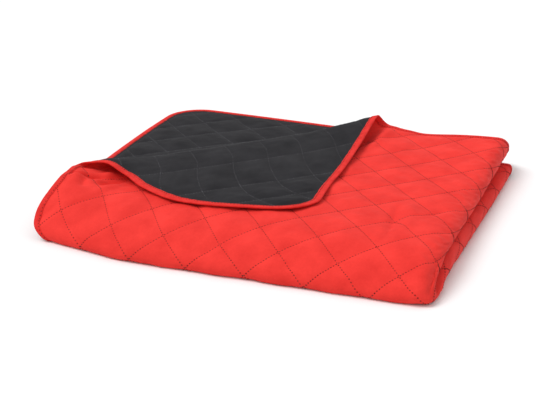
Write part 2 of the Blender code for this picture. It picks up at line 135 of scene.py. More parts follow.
creaseShape = {
    "bow": 0.10,  # its ends lie a quarter of this share of its length aside of its middle
    "overrun": 0.05,  # share of its length by which it runs past its ends
    "fade": 0.30,  # share of its length after which it is full
}

# Main creases of the top layer: start s, start t, end s, end t, height (less than 0 is a trough), width. The
# first eleven crumple the open end at the left, and the next three lie beside the raised corner at the back.
topCreases = (
    (-1.030, 0.205, -0.860, 0.245, -0.0140, 0.030),
    (-1.045, 0.150, -0.945, 0.240, 0.0070, 0.011),
    (-1.040, 0.200, -0.930, 0.285, 0.0070, 0.011),
    (-1.016, 0.205, -1.006, 0.140, 0.0050, 0.011),
    (-0.990, 0.185, -0.982, 0.140, -0.0060, 0.011),
    (-0.985, 0.150, -0.945, 0.290, 0.0060, 0.011),
    (-1.040, 0.180, -0.940, 0.265, -0.0050, 0.011),
    (-0.960, 0.180, -0.900, 0.300, -0.0070, 0.013),
    (-0.940, 0.130, -0.900, 0.260, 0.0050, 0.012),
    (-0.930, 0.170, -0.840, 0.225, -0.0040, 0.014),
    (-1.045, 0.030, -1.000, 0.080, -0.0050, 0.010),
    (-0.400, 0.935, -0.470, 0.640, -0.0200, 0.026),
    (-0.360, 0.930, -0.400, 0.720, 0.0060, 0.011),
    (-0.320, 0.960, -0.300, 0.700, 0.0040, 0.020),
    (-0.170, 0.170, -0.200, 0.380, -0.0075, 0.012),
    (-0.140, 0.210, -0.165, 0.400, 0.0040, 0.014),
    (-0.120, 0.330, -0.060, 0.440, -0.0035, 0.012),
    (-0.070, -0.020, -0.055, 0.140, 0.0055, 0.016),
    (-0.030, 0.020, -0.028, 0.150, -0.0050, 0.012),
    (-0.620, 0.020, -0.540, 0.075, -0.0030, 0.012),
    (-0.420, 0.010, -0.340, 0.050, -0.0030, 0.012),
    (-0.240, 0.020, -0.180, 0.075, 0.0030, 0.012),
)

# Sections across the second fold: y, z, and 1 at the front fold
outerSection = (
    (0.860, floorLayer, 0), (0.500, floorLayer, 0), (0.200, floorLayer, 0), (0.000, floorLayer, 0),
    (-0.060, 0.0040, 0), (-0.105, 0.0026, 0), (-0.1250, 0.0044, 0), (-0.1305, 0.0128, 1),
    (-0.1255, 0.0275, 0), (-0.103, 0.0460, 0), (-0.070, 0.0640, 0), (-0.034, 0.0770, 0),
    (0.000, 0.0840, 0), (0.040, 0.0878, 0), (0.110, 0.0885, 0), (0.300, 0.0890, 0),
    (0.550, 0.0920, 0), (0.760, 0.0970, 0), (0.880, 0.0980, 0),
)
innerLeftSection = (
    (0.880, 0.0260, 0), (0.500, 0.0270, 0), (0.200, 0.0240, 0), (0.050, 0.0185, 0),
    (-0.040, 0.0150, 0), (-0.078, 0.0150, 0), (-0.0945, 0.0215, 1), (-0.0800, 0.0290, 0),
    (-0.050, 0.0440, 0), (-0.015, 0.0615, 0), (0.030, 0.0700, 0), (0.110, 0.0690, 0),
    (0.300, 0.0660, 0), (0.550, 0.0600, 0), (0.800, 0.0540, 0), (0.920, 0.0530, 0),
)
innerRightSection = (
    (0.880, 0.0220, 0), (0.500, 0.0340, 0), (0.200, 0.0480, 0), (0.080, 0.0500, 0),
    (0.010, 0.0445, 0), (-0.040, 0.0260, 0), (-0.067, 0.0205, 0), (-0.0785, 0.0285, 1),
    (-0.066, 0.0380, 0), (-0.040, 0.0510, 0), (0.000, 0.0665, 0), (0.050, 0.0705, 0),
    (0.110, 0.0690, 0), (0.300, 0.0610, 0), (0.550, 0.0500, 0), (0.800, 0.0370, 0), (0.920, 0.0340, 0),
)


def smoothStep(value, start, end):
    # 0 before start, 1 after end, and a smooth S between.
    part = np.clip((value - start) / (end - start), 0.0, 1.0)
    return part * part * (3.0 - 2.0 * part)


def sectionCurve(rows, steps=40):
    # A cubic between each two rows, its slopes weighted by the chords to both neighbours; gives arc length
    # from the fold, y and z.
    table = np.array(rows)
    points = table[:, :2]
    nose = int(np.argmax(table[:, 2]))
    ahead = np.vstack([points[1:], 2 * points[-1] - points[-2]])
    behind = np.vstack([2 * points[0] - points[1], points[:-1]])
    chord = np.linalg.norm(np.diff(points, axis=0), axis=1)
    before = np.concatenate([[chord[0]], chord])
    after = np.concatenate([chord, [chord[-1]]])
    share = (after / (before + after))[:, None]
    slope = (points - behind) / before[:, None] * share + (ahead - points) / after[:, None] * (1 - share)
    u = np.linspace(0, 1, steps, endpoint=False)[None, :, None]
    out, arrive = slope[:-1, None] * chord[:, None, None], slope[1:, None] * chord[:, None, None]
    curve = (
        (2 * u**3 - 3 * u**2 + 1) * points[:-1, None]
        + (u**3 - 2 * u**2 + u) * out
        + (3 * u**2 - 2 * u**3) * points[1:, None]
        + (u**3 - u**2) * arrive
    )
    curve = np.vstack([curve.reshape(-1, 2), points[-1:]])
    length = np.concatenate([[0.0], np.cumsum(np.linalg.norm(np.diff(curve, axis=0), axis=1))])
    return length - length[nose * steps], curve[:, 0], curve[:, 1]


outerCurve = sectionCurve(outerSection)
innerLeftCurve = sectionCurve(innerLeftSection)
innerRightCurve = sectionCurve(innerRightSection)


def onCurve(curve, t):
    # y and z at arc length t from the fold, between the curve's points.
    length, y, z = curve
    return np.stack([np.interp(t, length, y), np.interp(t, length, z)], axis=-1)


# Arc length round a nose of unit height, from its tip to its end
noseAngles = np.linspace(0, math.pi / 2, 400)
noseOut = firstFold["noseReach"] * np.cos(noseAngles) ** firstFold["bluntness"]
noseSteps = np.hypot(np.diff(noseOut), np.diff(np.sin(noseAngles)))
noseArc = np.concatenate([[0.0], np.cumsum(noseSteps)])


def noseTurn(share):
    # Angle round the first fold's nose for an even share of the way from its tip, -1 to 1.
    return np.sign(share) * np.interp(np.abs(share), noseArc / noseArc[-1], noseAngles)


def topHeight(y):
    # Height of the top layer over a plan position behind the front slope.
    length, curveY, curveZ = outerCurve
    top = length > secondFold["topStart"]
    return np.interp(y, curveY[top], curveZ[top])


sheetHalves = np.array([
    sheetCut["outerLength"] + sheetCut["innerLength"], sheetCut["upperWidth"] + sheetCut["lowerWidth"]
]) / 2
sheetMiddle = np.array([
    sheetCut["innerLength"] - sheetCut["outerLength"], sheetCut["upperWidth"] - sheetCut["lowerWidth"]
]) / 2
sheetCore = sheetHalves - sheetCut["cornerRadius"]
creaseStart = np.array([
    firstFold["reach"] - sheetCut["outerLength"],
    float(onCurve(outerCurve, sheetCut["upperWidth"])[0]) - turnedCorner["leg"],
])
creaseLength = turnedCorner["leg"] * math.sqrt(2)


def slideForward(x):
    # A share of the skew that grows smoothly to the left.
    share, length = secondFold["slide"]
    return secondFold["skew"][1] * x * share * smoothStep(-x, 0.0, length)


def skewBack(x):
    # How far back the second fold lies: a straight line of x, less what slides forward.
    return secondFold["skew"][0] + secondFold["skew"][1] * x - slideForward(x)


def unevenness(x, y):
    # Slow waves of the whole pile: a sine one way times a cosine the other.
    alongX, alongY, alongStart = secondFold["waveAlong"]
    acrossX, acrossY, acrossStart = secondFold["waveAcross"]
    along = np.sin(alongX * x + alongY * y + alongStart)
    return secondFold["waveHeight"] * along * np.cos(acrossY * y + acrossX * x + acrossStart)


def lifted(x, y):
    # Gaussian rises and hollows of the top layer at the open end and along the far edge.
    rise = 0.0
    for middleX, middleY, height, spreadX, spreadY in turnedCorner["lifts"]:
        rise = rise + height * np.exp(-(((x - middleX) / spreadX) ** 2) - ((y - middleY) / spreadY) ** 2)
    return rise


def creased(s, t, rows):
    # Soft troughs and ridges drawn one by one: each runs from one flat point to another, Gaussian across,
    # fading
    #     # at both ends, and bowed a little.
    before, fade = creaseShape["overrun"], creaseShape["fade"]
    total = np.zeros_like(s)
    for startS, startT, endS, endT, height, width in rows:
        runS, runT = endS - startS, endT - startT
        length = math.hypot(runS, runT)
        share = ((s - startS) * runS + (t - startT) * runT) / length**2
        offset = ((s - startS) * runT - (t - startT) * runS) / length
        bend = creaseShape["bow"] * length * (np.clip(share, 0, 1) - 0.5) ** 2
        ends = smoothStep(share, -before, fade) * smoothStep(-share, -1 - before, fade - 1)
        total += height * np.exp(-(((offset + bend) / width) ** 2)) * ends
    return total


def through(values, share):
    # A smooth curve through three values at shares 0, a half and 1.
    start, middle, end = values
    firstHalf = (middle - start) * smoothStep(share, 0.0, 0.5)
    return start + firstHalf + (end - middle) * smoothStep(share, 0.5, 1.0)


def turnBack(x, y):
    # Rolls a plan position over the crease: straight up to it, half a circle round it, then mirrored and
    # settled, and moved by the two shifts.
    across = ((y - creaseStart[1]) - (x - creaseStart[0])) / math.sqrt(2)
    along = ((y - creaseStart[1]) + (x - creaseStart[0])) / math.sqrt(2)
    spread = turnedCorner["rollSpread"]
    ends = np.exp(-((along / spread) ** 2)) + np.exp(-(((creaseLength - along) / spread) ** 2))
    wide = turnedCorner["rollEnd"] - turnedCorner["rollMiddle"]
    radius = turnedCorner["rollMiddle"] + wide * np.clip(ends, 0, 1)
    halfTurn = math.pi * radius / 2
    angle = np.clip(across / radius + math.pi / 2, 0.0, math.pi)
    past = np.maximum(across - halfTurn, 0.0)
    moved = np.where(across > halfTurn, -across, radius * np.sin(angle) - halfTurn)
    moved = np.where(across < -halfTurn, across, moved)
    rest = turnedCorner["rest"]
    settled = rest + (2 * radius - rest) * np.exp(-((past / turnedCorner["fall"]) ** 2))
    lift = np.where(across > halfTurn, settled, radius * (1 - np.cos(angle)))
    openFrom = creaseLength - turnedCorner["openLength"]
    openness = turnedCorner["openAtBack"] * smoothStep(along, openFrom, creaseLength)
    openness = openness * smoothStep(across, -halfTurn, 2 * halfTurn)
    lift = lift + openness * np.exp(-((past / turnedCorner["openReach"]) ** 2))
    newX = creaseStart[0] + (along - moved) / math.sqrt(2)
    newY = creaseStart[1] + (along + moved) / math.sqrt(2)
    reach = past * math.sqrt(2) / turnedCorner["leg"]
    rightward = np.clip((newX - creaseStart[0]) / turnedCorner["leg"], 0.0, 1.0)
    turned = smoothStep(across, -turnedCorner["shiftStart"], 0.0)
    newX = newX + through(turnedCorner["shiftX"], reach) * rightward * turned
    near = np.maximum(1 - rightward, smoothStep(reach, 0.0, turnedCorner["shiftNear"]))
    newY = newY + through(turnedCorner["shiftY"], reach) * near * turned
    return newX, newY, lift


def aroundFolds(s, t):
    # x, y and z of the plain folded sheet: sections across the second fold, joined round the first fold by
    # blunted part ellipses. Also how far back the second fold lies there.
    fold = firstFold["reach"]
    straight = fold - np.abs(s)
    back = skewBack(straight)
    outer = onCurve(outerCurve, t - back)
    pinchStart, pinchEnd = firstFold["pinchSpan"]
    pinch = smoothStep(straight, fold - pinchStart, fold - pinchEnd)[..., None]
    inner = onCurve(innerLeftCurve, t - back) * (1 - pinch) + onCurve(innerRightCurve, t - back) * pinch
    halfGap = np.linalg.norm(inner - outer, axis=-1) / 2
    atCorner = np.exp(-(((t - back) / firstFold["cornerSpread"]) ** 2))
    reach = halfGap * firstFold["noseReach"] * (1 - atCorner) + firstFold["cornerNose"] * atCorner
    halfLength = math.pi / 2 * np.sqrt((halfGap**2 + reach**2) / 2)
    halfLength = halfLength + firstFold["noseTuck"] + firstFold["cornerTuck"] * atCorner
    angle = noseTurn(np.clip(s / halfLength, -1, 1))
    nose = fold - halfLength + reach * np.maximum(np.cos(angle), 0) ** firstFold["bluntness"]
    x = np.where(np.abs(s) < halfLength, nose, straight)
    section = (inner + outer) / 2 + (inner - outer) / 2 * np.sin(angle)[..., None]
    y = section[..., 0] + back * (1 - 2 * smoothStep(-t, *secondFold["skewFade"]))
    return x, y, section[..., 1], back


def slumped(x, y, z):
    # The pile loses a share of its height over a smooth patch of its plan.
    start, full, past, end = firstFold["slumpAlong"]
    across = smoothStep(x, *firstFold["slumpAcross"])
    slump = across * smoothStep(y, start, full) * (1 - smoothStep(y, past, end))
    return z * (1 - firstFold["slump"] * slump)


def mouthRise(s, t):
    # Gaussian rises along the left edge of the top layer, fading inwards.
    inwards = (s + sheetCut["outerLength"]) / turnedCorner["mouthReach"]
    rise = 0.0
    for place, height, width in turnedCorner["mouth"]:
        rise = rise + height * np.exp(-(((t - place) / width) ** 2) - inwards**2)
    return rise


def frontShaped(x, y, z, onFace):
    # The front slides forward on its left half. Its left end lies back, is tucked in at the foot and bulges
    # left above it, both as Gaussians of height.
    atFront = smoothStep(-y, *secondFold["front"])
    atLeft = smoothStep(-x, *secondFold["left"]) * atFront
    slide = slideForward(x) * smoothStep(-y, *secondFold["slideDown"])
    y = y + slide + secondFold["leftBack"] * smoothStep(-x, *secondFold["leftBackSpan"]) * atFront
    tuck, tuckHeight = secondFold["leftTuck"]
    x = x + atLeft * tuck * np.exp(-((z / tuckHeight) ** 2))
    bulge, bulgeHeight, bulgeSpread = secondFold["leftBulge"]
    x = x - atLeft * bulge * np.exp(-(((z - bulgeHeight) / bulgeSpread) ** 2)) * onFace
    return x, y


def placeSheet(s, t):
    # The folded place of the cloth's middle at flat (s, t): round both folds, with the far left corner of the
    # top layer rolled back over its crease, then lifted, creased and settled.
    x, y, z, back = aroundFolds(s, t)
    onTop = (s < 0) & (t > turnedCorner["from"])
    rolledX, rolledY, lift = turnBack(x, y)
    z = z + np.where(onTop, topHeight(rolledY - skewBack(rolledX)) - topHeight(y - back) + lift, 0.0)
    x, y = np.where(onTop, rolledX, x), np.where(onTop, rolledY, y)
    z = z + lifted(x, y) * np.where(s < 0, smoothStep(t, 0.0, turnedCorner["liftFade"]), 0.0)
    z = z + unevenness(x, y) * smoothStep(z, *secondFold["waveFade"])
    z = z + creased(s, t, topCreases)
    z = slumped(x, y, z) + mouthRise(s, t)
    alongSpan, leftSpan, flatSpan = secondFold["innerSpreadSpans"]
    spread = smoothStep(y, *alongSpan) * smoothStep(-x, *leftSpan)
    x = x - secondFold["innerSpread"] * np.where(s > 0, smoothStep(t, *flatSpan) * spread, 0.0)
    x = x + firstFold["lowerShift"] * smoothStep(-t, *firstFold["lowerShiftSpan"])
    x, y = frontShaped(x, y, z, s < 0)
    return np.stack([x, y, z], axis=-1) + sheetCut["toFrame"]


def sheetNormals(s, t, step=7e-4):
    # Across times along, by central differences: points out of the red face.
    across = placeSheet(s + step, t) - placeSheet(s - step, t)
    along = placeSheet(s, t + step) - placeSheet(s, t - step)
    normal = np.cross(across, along)
    return normal / np.linalg.norm(normal, axis=-1, keepdims=True)


def edgeDistance(s, t):
    # Distance in from the sheet's rounded edge.
    ds = np.abs(s - sheetMiddle[0]) - sheetCore[0]
    dt = np.abs(t - sheetMiddle[1]) - sheetCore[1]
    outside = np.hypot(np.maximum(ds, 0), np.maximum(dt, 0))
    return sheetCut["cornerRadius"] - outside - np.minimum(np.maximum(ds, dt), 0)


def seamDistances(s, t):
    # Distance to the nearest stitched line of each slope, and how far along it the point lies.
    column = (s + firstFold["reach"]) / quilting["diamond"]
    row = (t - quilting["rowAt"]) / quilting["diamond"]
    side = quilting["diamond"] / math.sqrt(2)
    falling, rising = column - row, column + row
    return (
        np.abs(falling - np.round(falling)) * side,
        np.abs(rising - np.round(rising)) * side,
        rising * side,
        falling * side,
    )


waveStretch = (0.8, 1.25)  # each sine's wavelength is this much shorter or longer


def waves(s, t, rows, seed):
    # A sum of sines in seeded directions: each row gives a wavelength, a height and a count of directions.
    draw = np.random.default_rng(seed)
    total = np.zeros_like(s)
    for wavelength, height, count in rows:
        for _ in range(count):
            turn = draw.uniform(0, math.pi)
            phase = draw.uniform(0, 2 * math.pi)
            stretch = draw.uniform(*waveStretch)
            k = 2 * math.pi / (wavelength * stretch)
            total += height / math.sqrt(count) * np.sin(k * (s * math.cos(turn) + t * math.sin(turn)) + phase)
    return total


faceWrinkles = {
    "waves": ((0.110, 0.0011, 5), (0.048, 0.00060, 7), (0.026, 0.00026, 7)),
    "puckers": (0.0145, 0.00038, 0.010),  # wavelength along the seam, height, reach off it
    "crumples": (  # middle and spread along s, and their waves: on the upper side of the first fold
        (-0.045, 0.045, ((0.036, 0.0008, 6), (0.019, 0.0004, 6))),
    ),
    "seed": 11,
}
reverseWrinkles = {
    "waves": ((0.120, 0.0013, 5), (0.052, 0.00080, 7), (0.027, 0.00034, 7)),
    "puckers": (0.0150, 0.00050, 0.012),
    "crumples": (),
    "seed": 23,
}
driftWaves = ((0.09, 1.6, 4),)  # how the puckers' rhythm drifts: wavelength, radians, count


def clothHeight(s, t, wrinkles):
    # How far one side of the quilted cloth stands off its back: flat on the stitching, rising over each
    # diamond with one minus an exponential of the distance to each seam, plus waves, and puckers along the
    # seams.
    first, second, alongFirst, alongSecond = seamDistances(s, t)
    lip = quilting["lip"]
    full = 1 - math.exp(-quilting["diamond"] / math.sqrt(8) / lip)
    puff = (1 - np.exp(-first / lip)) * (1 - np.exp(-second / lip)) / full**2
    inside = smoothStep(edgeDistance(s, t), quilting["margin"], quilting["margin"] + quilting["marginRise"])
    onFold = 0.0
    offsets = (s, t - skewBack(firstFold["reach"] - np.abs(s)))
    for offset, (share, reach) in zip(offsets, quilting["pressed"]):
        onFold = np.maximum(onFold, share * np.exp(-((offset / reach) ** 2)))
    puff = (puff * (1 - onFold) + quilting["evened"] * onFold) * inside
    rise = quilting["puff"] - quilting["seam"]
    wavelength, height, reach = wrinkles["puckers"]
    k = 2 * math.pi / wavelength
    drift = waves(s, t, driftWaves, wrinkles["seed"] + 5)
    start = quilting["puckerStart"]
    pucker = np.sin(k * alongFirst + drift) * np.exp(-first / reach) * (1 - np.exp(-first / start))
    pucker += np.sin(k * alongSecond - drift) * np.exp(-second / reach) * (1 - np.exp(-second / start))
    onSeam = quilting["wavesOnSeam"]
    small = waves(s, t, wrinkles["waves"], wrinkles["seed"]) * (onSeam + (1 - onSeam) * puff)
    for middle, spread, rows in wrinkles["crumples"]:
        small += waves(s, t, rows, wrinkles["seed"] + 9) * np.exp(-(((s - middle) / spread) ** 2))
    return quilting["seam"] + rise * puff + (height * pucker + small) * inside


def gridLines(start, end, origin, fineFrom, fineTo):
    # Lines that meet the seams: steps of a set share of a diamond, counted from origin, and doubled outside
    # the fine spans.
    step = quilting["diamond"] / quilting["gridSteps"]
    index = np.arange(math.ceil((start - origin) / step), math.floor((end - origin) / step) + 1)
    place = origin + index * step
    fine = np.zeros(len(place), bool)
    for low, high in zip(fineFrom, fineTo):
        fine |= (place >= low) & (place <= high)
    place = place[fine | (index % 2 == 0)]
    place = place[(place > start + step / 2) & (place < end - step / 2)]
    return np.concatenate([[start], place, [end]])


def ontoEdge(s, t):
    # Points of a corner square that lie outside the rounded edge move onto it, towards the corner's centre.
    radius = sheetCut["cornerRadius"]
    signS, signT = np.sign(s - sheetMiddle[0]), np.sign(t - sheetMiddle[1])
    a = np.maximum(np.abs(s - sheetMiddle[0]) - sheetCore[0], 0)
    b = np.maximum(np.abs(t - sheetMiddle[1]) - sheetCore[1], 0)
    away = np.hypot(a, b)
    outside = (a > 0) & (b > 0) & (away > radius)
    share = np.where(outside, radius / np.maximum(away, radius), 1.0)
    newS = sheetMiddle[0] + signS * (sheetCore[0] + a * share)
    newT = sheetMiddle[1] + signT * (sheetCore[1] + b * share)
    return np.where(outside, newS, s), np.where(outside, newT, t), outside


def makeMesh(name, points, faces, material, flatPlace=None, smooth=True):
    # Puts whole arrays into one mesh object; flatPlace becomes the UV map, in metres of flat cloth.
    faces = np.asarray(faces)
    mesh = bpy.data.meshes.new(name)
    mesh.vertices.add(len(points))
    mesh.vertices.foreach_set("co", np.ascontiguousarray(points, np.float32).ravel())
    corners = faces.shape[1]
    mesh.loops.add(faces.size)
    mesh.loops.foreach_set("vertex_index", np.ascontiguousarray(faces, np.int32).ravel())
    mesh.polygons.add(len(faces))
    mesh.polygons.foreach_set("loop_start", np.arange(0, faces.size, corners, dtype=np.int32))
    mesh.update(calc_edges=True)
    mesh.polygons.foreach_set("use_smooth", np.full(len(faces), smooth))
    if flatPlace is not None:
        uv = mesh.uv_layers.new(name="flatCloth")
        uv.data.foreach_set("uv", np.ascontiguousarray(flatPlace[faces.ravel()], np.float32).ravel())
    mesh.materials.append(material)
    made = bpy.data.objects.new(name, mesh)
    bpy.context.scene.collection.objects.link(made)
    return made


def gridFaces(rows, columns, closed=False):
    # Quads of a grid of rows by columns; closed joins the last row to the first.
    row, column = np.meshgrid(np.arange(rows if closed else rows - 1), np.arange(columns - 1), indexing="ij")
    here, ahead = row * columns + column, (row + 1) % rows * columns + column
    return np.stack([here, ahead, ahead + 1, here + 1], axis=-1).reshape(-1, 4)


def linearColour(text):
    # sRGB hex to linear red, green, blue and alpha.
    values = [int(text[i : i + 2], 16) / 255 for i in (0, 2, 4)]
    return tuple(v / 12.92 if v <= 0.04045 else ((v + 0.055) / 1.055) ** 2.4 for v in values) + (1.0,)


def addNode(tree, kind, settings=(), links=()):
    # Adds one node; a number or a socket's name sets that socket, another name a property of the node.
    node = tree.nodes.new(kind)
    for key, value in dict(settings).items():
        if isinstance(key, int) or key in node.inputs:
            node.inputs[key].default_value = value
        else:
            setattr(node, key, value)
    for key, output in dict(links).items():
        tree.links.new(output, node.inputs[key])
    return node


def newMaterial(name, roughness, specular, sheen):
    # A material with one Principled shader, not yet coloured.
    material = bpy.data.materials.new(name)
    material.use_nodes = True
    tree = material.node_tree
    shader = tree.nodes["Principled BSDF"]
    shader.inputs["Roughness"].default_value = roughness
    shader.inputs["Specular IOR Level"].default_value = specular
    shader.inputs["Sheen Weight"].default_value = sheen
    return material, tree, shader


def addTone(tree, shader, factor, tones, between):
    # Colours the shader from a deeper to a lighter tone as factor goes between two values.
    ramp = addNode(tree, "ShaderNodeValToRGB", (), {"Fac": factor})
    for element, position, tone in zip(ramp.color_ramp.elements, between, tones):
        element.position, element.color = position, linearColour(tone)
    tree.links.new(ramp.outputs["Color"], shader.inputs["Base Color"])


def addBump(tree, look, links):
    # A bump of the given strength and depth; gives its normal.
    strength, depth = look
    return addNode(tree, "ShaderNodeBump", {"Strength": strength, "Distance": depth}, links).outputs["Normal"]


def bandScale(pitch):
    # Scale of a wave texture whose bands lie pitch apart: it turns through 20 radians to the unit at scale 1.
    return 2 * math.pi / 20 / pitch


microfibre = {
    "faceTones": ("de302a", "f03b34"),
    "reverseTones": ("1f1e21", "2a292c"),
    "toneSpan": (0.42, 0.82),
    "yarnPitch": 0.0010053,  # the real yarns are 0.25 mm apart; drawn coarser so that they show
    "yarnWander": 1.2,
    "yarnBump": (0.12, 0.0004),  # strength and depth
    "cloudSize": 0.07,
    "cloudBump": (0.4, 0.0012),
    "napSize": 0.006,
    "napShare": 0.25,
    "roughness": 0.80,
    "specular": 0.12,
    "sheen": 0.04,
}


def brushedMicrofibre(name, tones):
    # Brushed polyester microfibre, plain woven from very fine yarns: an even, matt, slightly downy surface,
    # with faint clouding where the nap lies this way or that.
    look = microfibre
    material, tree, shader = newMaterial(name, look["roughness"], look["specular"], look["sheen"])
    uv = addNode(tree, "ShaderNodeUVMap", {"uv_map": "flatCloth"}).outputs["UV"]
    cloudLook = {"Scale": 1 / look["cloudSize"], "Detail": 3.0}
    cloud = addNode(tree, "ShaderNodeTexNoise", cloudLook, {"Vector": uv}).outputs["Fac"]
    napLook = {"Scale": 1 / look["napSize"], "Detail": 2.0}
    nap = addNode(tree, "ShaderNodeTexNoise", napLook, {"Vector": uv}).outputs["Fac"]
    mixing = {"operation": "MULTIPLY_ADD", 1: look["napShare"]}
    both = addNode(tree, "ShaderNodeMath", mixing, {0: nap, 2: cloud})
    addTone(tree, shader, both.outputs["Value"], tones, look["toneSpan"])
    yarnLook = {"Scale": bandScale(look["yarnPitch"]), "Distortion": look["yarnWander"], "Detail": 1.0}
    warp = addNode(tree, "ShaderNodeTexWave", {**yarnLook, "bands_direction": "X"}, {"Vector": uv})
    weft = addNode(tree, "ShaderNodeTexWave", {**yarnLook, "bands_direction": "Y"}, {"Vector": uv})
    crossing = {0: warp.outputs["Fac"], 1: weft.outputs["Fac"]}
    weave = addNode(tree, "ShaderNodeMath", {"operation": "ADD"}, crossing).outputs["Value"]
    yarns = addBump(tree, look["yarnBump"], {"Height": weave})
    soft = addBump(tree, look["cloudBump"], {"Height": cloud, "Normal": yarns})
    tree.links.new(soft, shader.inputs["Normal"])
    return material


wovenTapeLook = {
    "tones": ("d2241f", "e4302b"),
    "toneSpan": (0.35, 0.65),
    "cloudSize": 0.016667,
    "ribPitch": 0.000748,  # the real ribs are about 0.4 mm apart; drawn coarser
    "ribWander": 0.6,
    "ribBump": (0.2, 0.0004),
    "roughness": 0.72,
    "specular": 0.15,
    "sheen": 0.03,
}


def wovenTape(name):
    # Polyester binding tape, plain woven and folded in half: tighter and flatter than the panels, a shade
    # deeper.
    look = wovenTapeLook
    material, tree, shader = newMaterial(name, look["roughness"], look["specular"], look["sheen"])
    uv = addNode(tree, "ShaderNodeUVMap", {"uv_map": "flatCloth"}).outputs["UV"]
    cloudLook = {"Scale": 1 / look["cloudSize"], "Detail": 3.0}
    cloud = addNode(tree, "ShaderNodeTexNoise", cloudLook, {"Vector": uv}).outputs["Fac"]
    addTone(tree, shader, cloud, look["tones"], look["toneSpan"])
    ribLook = {"Scale": bandScale(look["ribPitch"]), "Distortion": look["ribWander"], "bands_direction": "Y"}
    ribs = addNode(tree, "ShaderNodeTexWave", ribLook, {"Vector": uv})
    bump = addBump(tree, look["ribBump"], {"Height": ribs.outputs["Fac"]})
    tree.links.new(bump, shader.inputs["Normal"])
    return material


threadLook = {
    # red: the thread's own dark red, deepened further as painted shade of the needle holes it sinks into
    "redAndPitShadeTones": ("4c0b0b", "86352f"),
    "greyTones": ("3e3d41", "7c7b80"),
    "toneSpan": (0.35, 0.65),
    "toneRun": 0.011111,  # about one and a half stitches
    "roughness": 0.70,
    "specular": 0.15,
}


def spunThread(name, tones):
    # Spun polyester sewing thread: matt, its tone changing a little from stitch to stitch. The red tones are
    # the thread's own dark red, deepened as painted shade of the needle holes.
    material, tree, shader = newMaterial(name, threadLook["roughness"], threadLook["specular"], 0.0)
    place = addNode(tree, "ShaderNodeTexCoord").outputs["Object"]
    cloudLook = {"Scale": 1 / threadLook["toneRun"]}
    cloud = addNode(tree, "ShaderNodeTexNoise", cloudLook, {"Vector": place}).outputs["Fac"]
    addTone(tree, shader, cloud, tones, threadLook["toneSpan"])
    return material


redCloth = brushedMicrofibre("redMicrofibre", microfibre["faceTones"])
blackCloth = brushedMicrofibre("blackMicrofibre", microfibre["reverseTones"])
tape = wovenTape("redTape")
# The face and hem stitches' dark red is partly painted shade of the stitch holes
redThreadAndPitShade = spunThread("redThreadAndPitShade", threadLook["redAndPitShadeTones"])
greyThread = spunThread("greyThread", threadLook["greyTones"])
print("cloth, tape and thread coloured")

# Where each side's grid is fine, because that layer is seen: along s and across t
faceGrid = {"s": ((-1.05,), (0.075,)), "t": ((-0.06,), (0.93,))}
reverseGrid = {"s": ((-1.05, 0.40), (-0.40, 1.05)), "t": ((0.26,), (0.93,))}


def clothSide(name, side, grid, wrinkles, material):
    # One side of the quilt as a sheet of triangles: the folded middle plus its height along the normal. A
    # square of the grid that a seam crosses is split along the seam.
    lineS = gridLines(-sheetCut["outerLength"], sheetCut["innerLength"], -firstFold["reach"], *grid["s"])
    lineT = gridLines(-sheetCut["lowerWidth"], sheetCut["upperWidth"], quilting["rowAt"], *grid["t"])
    flatS, flatT = np.meshgrid(lineS, lineT, indexing="ij")
    s, t, outside = ontoEdge(flatS.ravel(), flatT.ravel())
    quads = gridFaces(len(lineS), len(lineT))
    quads = quads[~outside[quads].all(axis=1)]
    middleS, middleT = flatS.ravel()[quads].mean(axis=1), flatT.ravel()[quads].mean(axis=1)
    rising = seamDistances(middleS, middleT)[1] < quilting["diamond"] / quilting["gridSteps"] / 2
    here, ahead, across, beside = quads.T
    first = np.where(rising, [here, ahead, beside], [here, ahead, across])
    second = np.where(rising, [ahead, across, beside], [here, across, beside])
    faces = np.concatenate([first.T, second.T])
    used = np.unique(faces)
    renumber = np.zeros(len(s), int)
    renumber[used] = np.arange(len(used))
    faces, s, t = renumber[faces], s[used], t[used]
    height = clothHeight(s, t, wrinkles) + quilting["halfGap"]
    rim = smoothStep(edgeDistance(s, t), 0.0, quilting["rimTaper"])
    points = placeSheet(s, t) + sheetNormals(s, t) * (side * height * rim)[:, None]
    points[:, 2] = np.maximum(points[:, 2], 0.0)
    if side < 0:
        faces = faces[:, ::-1]
    made = makeMesh(name, points, faces, material, np.stack([s, t], axis=1))
    print(name, len(lineS), "by", len(lineT), "lines,", len(faces), "triangles")
    return made


faceCloth = clothSide("face_cloth", 1, faceGrid, faceWrinkles, redCloth)
reverseCloth = clothSide("reverse_cloth", -1, reverseGrid, reverseWrinkles, blackCloth)


def rimPath(step):
    # The rounded edge as flat points, with the direction in from the edge and the length run so far.
    radius = sheetCut["cornerRadius"]
    corners = []
    for quarter, (sideS, sideT) in enumerate(((1, 1), (-1, 1), (-1, -1), (1, -1))):
        angle = math.pi / 2 * (quarter + np.linspace(0, 1, int(radius * math.pi / 2 / step) + 1))
        corners.append(np.stack([
            sheetMiddle[0] + sideS * sheetCore[0] + radius * np.cos(angle),
            sheetMiddle[1] + sideT * sheetCore[1] + radius * np.sin(angle),
            -np.cos(angle), -np.sin(angle),
        ], axis=1))
    runs = []
    for corner, following in zip(corners, corners[1:] + corners[:1]):
        count = int(np.linalg.norm(following[0, :2] - corner[-1, :2]) / step)
        share = np.linspace(0, 1, count + 1)[1:-1, None]
        runs += [corner, corner[-1] * (1 - share) + following[0] * share]
    path = np.concatenate(runs)
    path[:, 2:] /= np.linalg.norm(path[:, 2:], axis=1, keepdims=True)
    ends = np.roll(path[:, :2], -1, axis=0)
    length = np.concatenate([[0.0], np.cumsum(np.linalg.norm(ends - path[:, :2], axis=1))[:-1]])
    return path[:, :2], path[:, 2:], length


